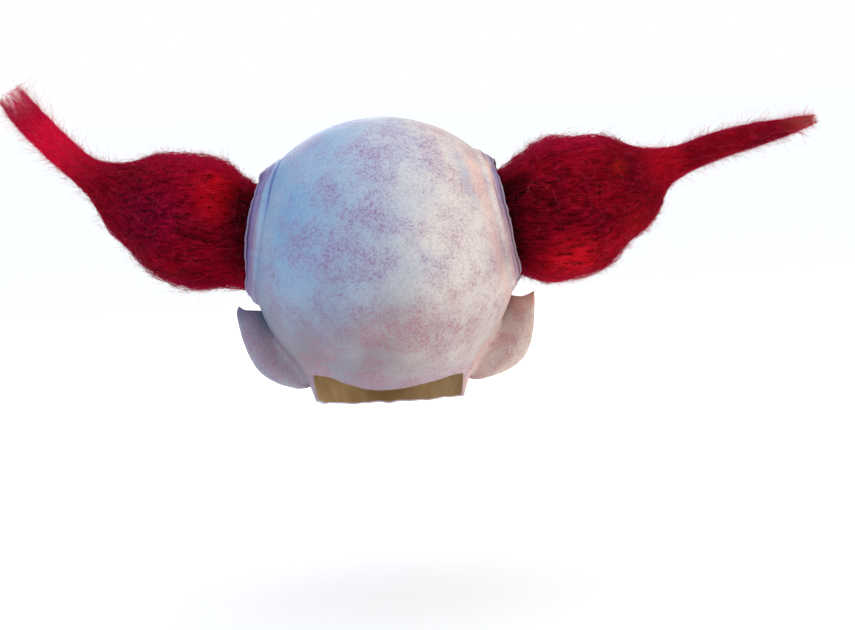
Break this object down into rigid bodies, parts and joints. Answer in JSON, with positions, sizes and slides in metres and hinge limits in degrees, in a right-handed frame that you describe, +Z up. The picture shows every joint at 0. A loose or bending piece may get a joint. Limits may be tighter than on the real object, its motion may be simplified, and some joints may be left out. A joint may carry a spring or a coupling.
{
  "type": "full head clown mask",
  "caption": "Hollow latex mask that covers the whole head, with a bald crown, a calm clown face, pointed ears and a long teased hair tuft standing out of a raised collar at each side.",
  "frame": {"origin": "the seat inside the crown, where the top of the wearer's head meets the latex", "axes": "+Z up, -Y the way the face looks, +X towards the mask's left ear"},
  "size_m": [0.669, 0.2535, 0.288],
  "materials": {
    "painted_latex": "pale cast latex, sponged and scribbled with lilac, blue and rose paint, bare tan latex inside",
    "collar_latex": "wrinkled brush-on latex tinted violet and rose, with a pale ragged lip",
    "red_hair": "teased crimson wool-like fibre, darker at the roots"
  },
  "bodies": {
    "root": {"mask_shell": "painted_latex", "hair_collar_left": "collar_latex", "hair_collar_right": "collar_latex", "hair_tuft_left": "red_hair", "hair_tuft_right": "red_hair"}
  },
  "joints": []
}
